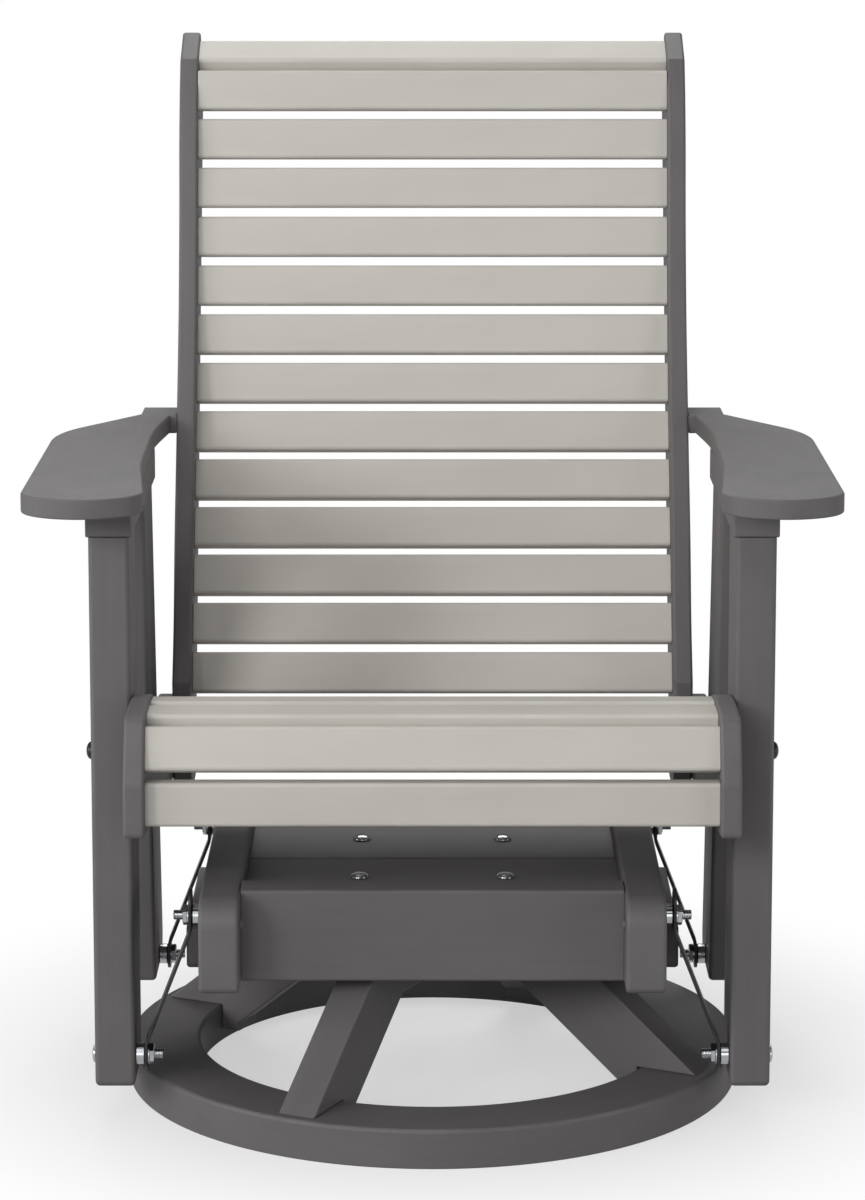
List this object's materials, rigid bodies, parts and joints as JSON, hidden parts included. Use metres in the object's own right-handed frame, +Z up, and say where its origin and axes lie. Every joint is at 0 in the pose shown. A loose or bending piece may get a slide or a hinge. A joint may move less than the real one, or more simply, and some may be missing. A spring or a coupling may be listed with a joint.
{
  "type": "outdoor swivel glider armchair",
  "caption": "Slatted high-back outdoor armchair of plastic lumber that glides on bent steel links and swivels on a round ring stand.",
  "frame": {"origin": "middle of the bounding box, on the floor; the swivel axis stands 70 mm in front of it, at X = 0, Y = -0.06992", "axes": "+Z up, +X to the right of someone who looks at the front, +Y towards the back; the sitter faces -Y"},
  "size_m": [0.759, 0.7418, 1.0074],
  "materials": {
    "charcoal_lumber": "charcoal grey HDPE plastic lumber, faint lengthwise grain, eased edges",
    "warm_grey_lumber": "light warm grey HDPE plastic lumber, faint lengthwise grain, eased edges",
    "black_steel": "satin black coated steel",
    "zinc_steel": "bright zinc plated and stainless steel"
  },
  "bodies": {
    "stand": {"base_ring": "charcoal_lumber", "strut_1": "charcoal_lumber", "strut_2": "charcoal_lumber", "strut_3": "charcoal_lumber", "strut_4": "charcoal_lumber", "hub_board": "charcoal_lumber", "swivel_lower_plate": "black_steel", "ball_cage": "zinc_steel"},
    "deck": {"swivel_upper_plate": "zinc_steel", "deck_board_front": "charcoal_lumber", "deck_board_rear": "charcoal_lumber", "cross_rail_front": "charcoal_lumber", "cross_rail_rear": "charcoal_lumber", "side_rail_left": "charcoal_lumber", "side_rail_right": "charcoal_lumber", "upper_pivot_front_left": "zinc_steel", "upper_pivot_rear_left": "zinc_steel", "upper_pivot_front_right": "zinc_steel", "upper_pivot_rear_right": "zinc_steel"},
    "link_front_left": {"link_front_left": "black_steel"},
    "link_rear_left": {"link_rear_left": "black_steel"},
    "link_front_right": {"link_front_right": "black_steel"},
    "link_rear_right": {"link_rear_right": "black_steel"},
    "chair": {"seat_rail_left": "charcoal_lumber", "seat_rail_right": "charcoal_lumber", "back_stile_left": "charcoal_lumber", "back_stile_right": "charcoal_lumber", "front_leg_left": "charcoal_lumber", "front_leg_right": "charcoal_lumber", "rear_leg_left": "charcoal_lumber", "rear_leg_right": "charcoal_lumber", "arm_left": "charcoal_lumber", "arm_right": "charcoal_lumber", "lower_pivot_front_left": "zinc_steel", "lower_pivot_rear_left": "zinc_steel", "lower_pivot_front_right": "zinc_steel", "lower_pivot_rear_right": "zinc_steel", "front_slat_lower": "warm_grey_lumber", "front_slat_upper": "warm_grey_lumber", "seat_slat_1": "warm_grey_lumber", "seat_slat_2": "warm_grey_lumber", "seat_slat_3": "warm_grey_lumber", "seat_slat_4": "warm_grey_lumber", "seat_slat_5": "warm_grey_lumber", "seat_slat_6": "warm_grey_lumber", "seat_slat_7": "warm_grey_lumber", "back_slat_01": "warm_grey_lumber", "back_slat_02": "warm_grey_lumber", "back_slat_03": "warm_grey_lumber", "back_slat_04": "warm_grey_lumber", "back_slat_05": "warm_grey_lumber", "back_slat_06": "warm_grey_lumber", "back_slat_07": "warm_grey_lumber", "back_slat_08": "warm_grey_lumber", "back_slat_09": "warm_grey_lumber", "back_slat_10": "warm_grey_lumber", "back_slat_11": "warm_grey_lumber", "back_slat_12": "warm_grey_lumber", "back_slat_13": "warm_grey_lumber", "roll_top_slat": "warm_grey_lumber"}
  },
  "joints": [
    {"name": "swivel", "type": "hinge", "parent": "stand", "child": "deck", "pos_m": [0, -0.06992, 0.17], "axis": [0, 0, 1], "continuous": true},
    {"name": "glide", "type": "hinge", "parent": "deck", "child": "link_front_left", "pos_m": [-0.23, -0.23592, 0.205], "axis": [1, 0, 0], "range_deg": [-20, 20]},
    {"name": "link_rear_left_swing", "type": "hinge", "parent": "deck", "child": "link_rear_left", "pos_m": [-0.23, 0.09608, 0.205], "axis": [1, 0, 0], "range_deg": [-20, 20]},
    {"name": "link_front_right_swing", "type": "hinge", "parent": "deck", "child": "link_front_right", "pos_m": [0.23, -0.23592, 0.205], "axis": [1, 0, 0], "range_deg": [-20, 20]},
    {"name": "link_rear_right_swing", "type": "hinge", "parent": "deck", "child": "link_rear_right", "pos_m": [0.23, 0.09608, 0.205], "axis": [1, 0, 0], "range_deg": [-20, 20]},
    {"name": "chair_level", "type": "hinge", "parent": "link_front_left", "child": "chair", "pos_m": [-0.273, -0.23592, 0.068], "axis": [1, 0, 0], "range_deg": [-20, 20]}
  ],
  "couplings": [
    {"joint": "link_rear_left_swing", "follows": "glide", "ratio": 1},
    {"joint": "link_front_right_swing", "follows": "glide", "ratio": 1},
    {"joint": "link_rear_right_swing", "follows": "glide", "ratio": 1},
    {"joint": "chair_level", "follows": "glide", "ratio": -1}
  ]
}
